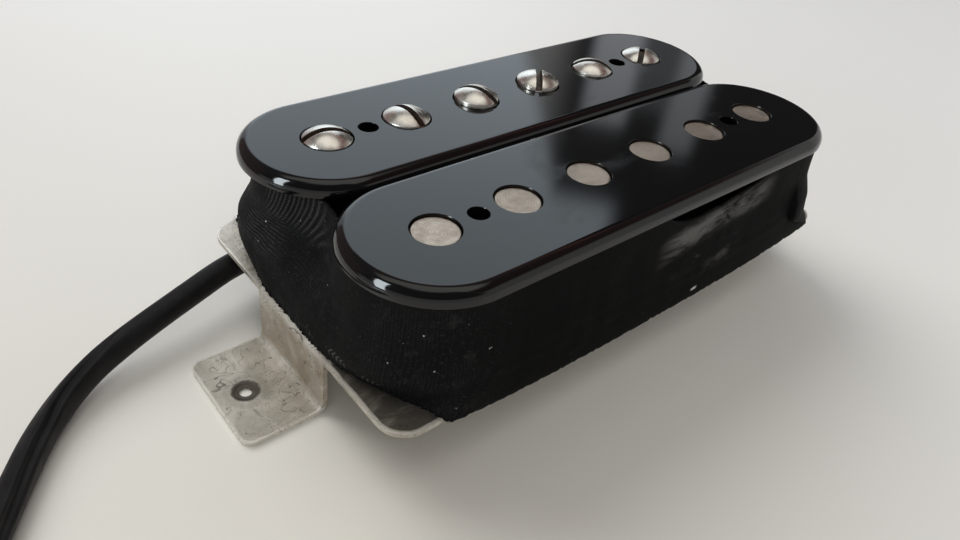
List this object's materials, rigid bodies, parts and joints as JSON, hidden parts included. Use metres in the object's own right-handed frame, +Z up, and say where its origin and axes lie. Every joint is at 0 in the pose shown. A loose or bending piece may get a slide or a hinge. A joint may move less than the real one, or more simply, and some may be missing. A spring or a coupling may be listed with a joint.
{
  "type": "guitar pickup",
  "caption": "Twin-coil guitar pickup: two glossy bobbins with adjustable pole screws and fixed slugs on a bent metal baseplate, cloth tape round the coils and a screened lead.",
  "frame": {"origin": "midway between the two rows of poles and between the two feet, on the plane that the feet stand on", "axes": "+X along the pole rows away from the end where the lead comes out, +Y towards the row of pole screws, +Z up out of the top of the bobbins"},
  "size_m": [0.1523, 0.0422, 0.0224],
  "materials": {
    "gloss_plastic": "polished black moulding with fine scratches",
    "nickel_silver": "bare bent sheet, scratched and smudged",
    "nickel_plate": "bright nickel plate, slightly worn",
    "slug_steel": "turned end faces with fine rings",
    "mild_steel": "plain steel",
    "magnet": "rough cast, ground faces",
    "spacer_plastic": "matt",
    "winding": "enamelled fine wire",
    "wrap_tape": "thin matt tape",
    "cloth_tape": "woven black cloth tape, worn and dusty",
    "jacket": "matt black sleeve",
    "wire_red": "satin insulation",
    "wire_white": "satin insulation",
    "wire_green": "satin insulation",
    "wire_black": "satin insulation",
    "tinned_wire": "tinned strands",
    "solder": "shiny set solder"
  },
  "bodies": {
    "pickup": {"bar_magnet": "magnet", "baseplate": "nickel_silver", "bobbin_screw_1": "mild_steel", "bobbin_screw_2": "mild_steel", "bobbin_screw_3": "mild_steel", "bobbin_screw_4": "mild_steel", "cable": "jacket", "cable_coil": "jacket", "coil_tape": "cloth_tape", "inner_shield_wire": "tinned_wire", "inner_wire_black": "wire_black", "inner_wire_green": "wire_green", "inner_wire_red": "wire_red", "inner_wire_white": "wire_white", "keeper_bar": "mild_steel", "lead_black": "wire_black", "lead_green": "wire_green", "lead_red": "wire_red", "lead_shield": "tinned_wire", "lead_white": "wire_white", "screw_bobbin": "gloss_plastic", "screw_coil": "winding", "screw_coil_lead_1": "wire_red", "screw_coil_lead_2": "wire_white", "screw_coil_wrap": "wrap_tape", "shield_solder": "solder", "slug_1": "slug_steel", "slug_2": "slug_steel", "slug_3": "slug_steel", "slug_4": "slug_steel", "slug_5": "slug_steel", "slug_6": "slug_steel", "slug_bobbin": "gloss_plastic", "slug_coil": "winding", "slug_coil_lead_1": "wire_green", "slug_coil_lead_2": "wire_black", "slug_coil_wrap": "wrap_tape", "spacer_bar": "spacer_plastic", "splice_sleeve_black": "wrap_tape", "splice_sleeve_green": "wrap_tape", "splice_sleeve_red": "wrap_tape", "splice_sleeve_white": "wrap_tape"},
    "pole_screw_1": {"pole_screw_1": "nickel_plate"},
    "pole_screw_2": {"pole_screw_2": "nickel_plate"},
    "pole_screw_3": {"pole_screw_3": "nickel_plate"},
    "pole_screw_4": {"pole_screw_4": "nickel_plate"},
    "pole_screw_5": {"pole_screw_5": "nickel_plate"},
    "pole_screw_6": {"pole_screw_6": "nickel_plate"}
  },
  "joints": [
    {"name": "pole_screw_1_height", "type": "slide", "parent": "pickup", "child": "pole_screw_1", "axis": [0, 0, 1], "range_m": [-0.0018, 0.003]},
    {"name": "pole_screw_2_height", "type": "slide", "parent": "pickup", "child": "pole_screw_2", "axis": [0, 0, 1], "range_m": [-0.0019, 0.003]},
    {"name": "pole_screw_3_height", "type": "slide", "parent": "pickup", "child": "pole_screw_3", "axis": [0, 0, 1], "range_m": [-0.00225, 0.003]},
    {"name": "pole_screw_4_height", "type": "slide", "parent": "pickup", "child": "pole_screw_4", "axis": [0, 0, 1], "range_m": [-0.00225, 0.003]},
    {"name": "pole_screw_5_height", "type": "slide", "parent": "pickup", "child": "pole_screw_5", "axis": [0, 0, 1], "range_m": [-0.002, 0.003]},
    {"name": "pole_screw_6_height", "type": "slide", "parent": "pickup", "child": "pole_screw_6", "axis": [0, 0, 1], "range_m": [-0.00185, 0.003]}
  ]
}
